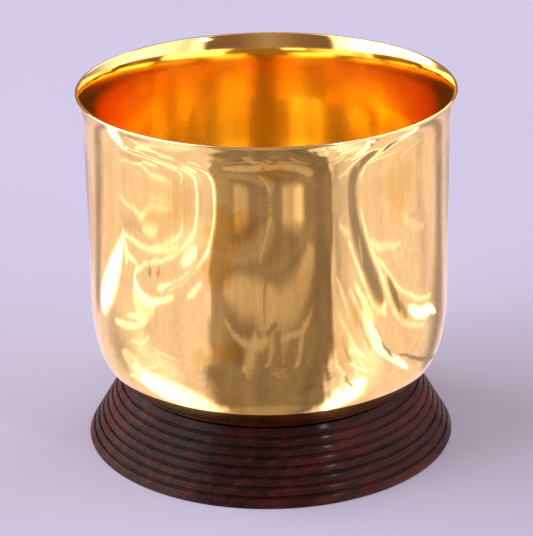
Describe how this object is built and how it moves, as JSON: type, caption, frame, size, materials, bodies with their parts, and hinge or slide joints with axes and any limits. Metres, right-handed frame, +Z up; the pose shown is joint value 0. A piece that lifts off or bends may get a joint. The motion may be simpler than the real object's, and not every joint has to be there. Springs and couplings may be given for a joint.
{
  "type": "footed bowl",
  "caption": "Deep straight-sided gilt metal bowl with a short flared lip, standing on a turned dark wooden foot with grooved, sloping sides.",
  "frame": {"origin": "centre of the flat face that the foot rests on", "axes": "+Z up along the bowl's axis of revolution; the bowl is alike all round, and the picture looks along +Y"},
  "size_m": [0.13, 0.13, 0.1275],
  "materials": {
    "gilt": "polished gilding with fine spun lines",
    "rosewood": "semi-gloss waxed dark reddish wood",
    "plain_silver": "satin, slightly tarnished silver",
    "hardware_brass": "plain machined brass, dulled"
  },
  "bodies": {
    "root": {"bowl": "gilt", "wooden_foot": "rosewood", "backing_disc": "plain_silver", "stud": "plain_silver", "washer": "hardware_brass", "nut": "hardware_brass"}
  },
  "joints": []
}
